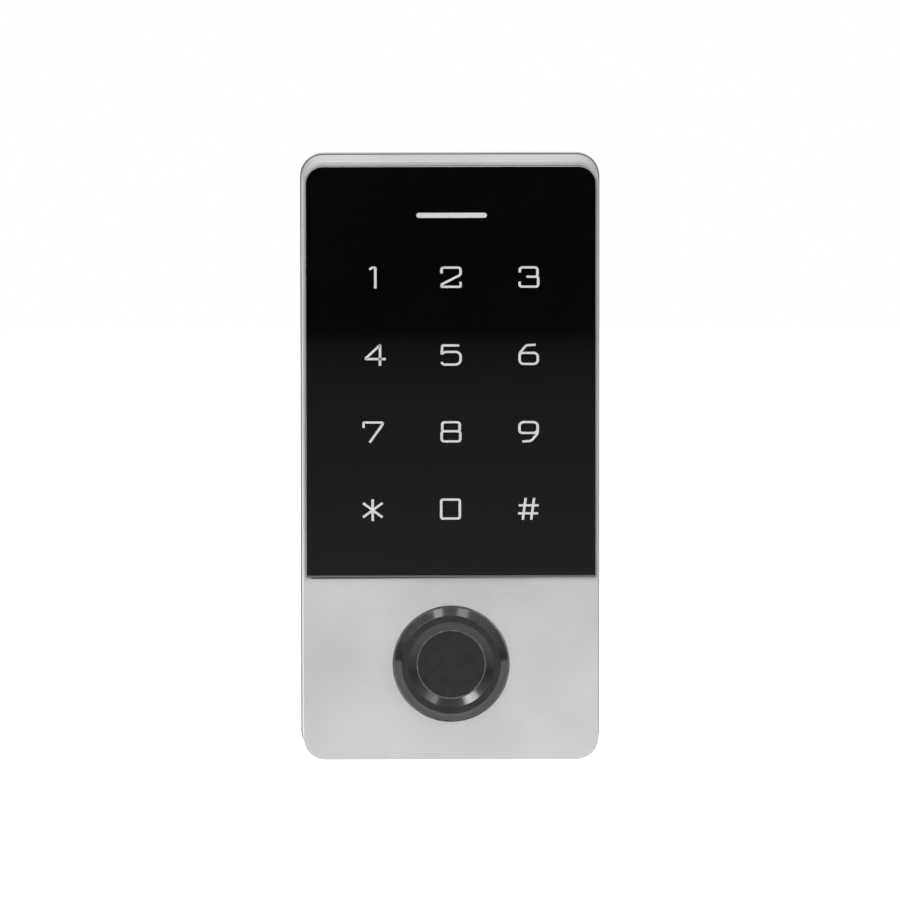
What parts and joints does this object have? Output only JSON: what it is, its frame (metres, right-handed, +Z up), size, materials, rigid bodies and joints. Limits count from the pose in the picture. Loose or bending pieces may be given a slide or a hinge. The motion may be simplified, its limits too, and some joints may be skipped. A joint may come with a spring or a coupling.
{
  "type": "fingerprint scanner terminal",
  "caption": "Wall-mounted access terminal: black glass touch keypad with a status light above a round fingerprint sensor, in a satin silver metal case on a hook-on bracket.",
  "frame": {"origin": "centre of the four wall-screw holes, on the wall plane at the back of the bracket", "axes": "+Z up, +Y into the wall, +X to the right as the user sees it; the user stands on the -Y side"},
  "size_m": [0.0732, 0.0242, 0.1476],
  "materials": {
    "case_silver": "satin silver lacquer over a zinc alloy casting",
    "cover_silver": "satin silver lacquer over a zinc alloy casting",
    "black_glass": "polished, printed opaque black behind",
    "adhesive_foam": "matte foam",
    "diffuser_film": "milky",
    "mask_plastic": "fine moulded texture",
    "light_pipe_plastic": "frosted clear",
    "ring_plastic": "smoked, frosted",
    "led_resin": "clear resin",
    "circuit_board": "solder mask",
    "chip_plastic": "moulded resin",
    "connector_black": "moulded",
    "connector_white": "moulded nylon",
    "bezel_black": "black anodised, glossy",
    "sensor_pad": "matte coated sensing surface",
    "seal_rubber": "matte",
    "plated_steel": "zinc plated",
    "flex_film": "polyimide film",
    "ferrite": "sintered",
    "capacitor_can": "drawn can",
    "relay_plastic": "moulded",
    "window_plastic": "smoked clear",
    "bracket_steel": "zinc plated sheet",
    "lock_steel": "stainless"
  },
  "bodies": {
    "bracket": {"wall_bracket": "bracket_steel", "lock_nut": "plated_steel"},
    "terminal": {"front_housing": "case_silver", "glass_panel": "black_glass", "glass_adhesive": "adhesive_foam", "legend_film": "diffuser_film", "light_mask": "mask_plastic", "status_light_pipe": "light_pipe_plastic", "indicator_leds": "led_resin", "touch_board": "circuit_board", "touch_controller": "chip_plastic", "link_header": "connector_black", "sensor_bezel": "bezel_black", "sensor_disc": "sensor_pad", "sensor_light_ring": "ring_plastic", "sensor_board": "circuit_board", "sensor_end_cap": "mask_plastic", "sensor_connector": "connector_white", "sensor_gasket": "seal_rubber", "sensor_nut": "plated_steel", "sensor_flex": "flex_film", "flex_socket": "connector_white", "main_board": "circuit_board", "link_socket": "connector_black", "main_chips": "chip_plastic", "power_inductor": "ferrite", "capacitors": "capacitor_can", "lock_relay": "relay_plastic", "buzzer": "mask_plastic", "wire_connector": "connector_white", "tamper_sensor": "chip_plastic", "board_screws": "plated_steel", "back_cover": "cover_silver", "cover_gasket": "seal_rubber", "cover_screws": "plated_steel", "cable_grommet": "seal_rubber", "tamper_window": "window_plastic"},
    "screw": {"lock_screw": "lock_steel"}
  },
  "joints": [
    {"name": "terminal_swing", "type": "hinge", "parent": "bracket", "child": "terminal", "pos_m": [0, -0.003, 0.07115], "axis": [-1, 0, 0], "range_deg": [0, 20]},
    {"name": "lock_screw_travel", "type": "slide", "parent": "bracket", "child": "screw", "axis": [0, 0, -1], "range_m": [0, 0.004]}
  ]
}
